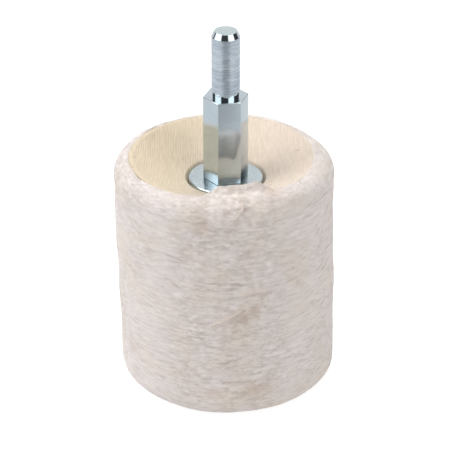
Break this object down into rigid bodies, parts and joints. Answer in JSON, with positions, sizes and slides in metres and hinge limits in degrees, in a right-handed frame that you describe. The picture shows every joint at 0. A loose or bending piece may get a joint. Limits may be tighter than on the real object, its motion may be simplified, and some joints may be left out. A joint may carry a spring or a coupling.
{
  "type": "cylindrical cotton polishing mop on a hex mandrel",
  "caption": "Cylindrical polishing mop: a deep stack of napped cotton cloth discs clamped between washers on a zinc plated hex mandrel with a round drill shank.",
  "frame": {"origin": "centre of the base, on the plane that the mop stands on", "axes": "+Z along the mandrel, from the base to the end of the shank; +X is 10.7 degrees clockwise, seen from above, of one corner of the hex"},
  "size_m": [0.05, 0.05, 0.0853],
  "materials": {
    "cloth": "napped",
    "zinc_plated_steel": "bright zinc plated"
  },
  "bodies": {
    "root": {"mandrel": "zinc_plated_steel", "upper_washer": "zinc_plated_steel", "cloth_disc_01": "cloth", "cloth_disc_02": "cloth", "cloth_disc_03": "cloth", "cloth_disc_04": "cloth", "cloth_disc_05": "cloth", "cloth_disc_06": "cloth", "cloth_disc_07": "cloth", "cloth_disc_08": "cloth", "cloth_disc_09": "cloth", "cloth_disc_10": "cloth", "cloth_disc_11": "cloth", "cloth_disc_12": "cloth", "cloth_disc_13": "cloth", "cloth_disc_14": "cloth", "cloth_disc_15": "cloth", "cloth_disc_16": "cloth", "cloth_disc_17": "cloth", "cloth_disc_18": "cloth", "cloth_disc_19": "cloth", "cloth_disc_20": "cloth", "cloth_disc_21": "cloth", "cloth_disc_22": "cloth", "cloth_disc_23": "cloth", "cloth_disc_24": "cloth", "cloth_disc_25": "cloth", "cloth_disc_26": "cloth", "cloth_disc_27": "cloth", "cloth_disc_28": "cloth", "cloth_disc_29": "cloth", "cloth_disc_30": "cloth", "cloth_disc_31": "cloth", "cloth_disc_32": "cloth", "cloth_disc_33": "cloth", "cloth_disc_34": "cloth", "cloth_disc_35": "cloth", "cloth_disc_36": "cloth", "lower_washer": "zinc_plated_steel", "lock_washer": "zinc_plated_steel", "clamp_screw": "zinc_plated_steel"}
  },
  "joints": []
}
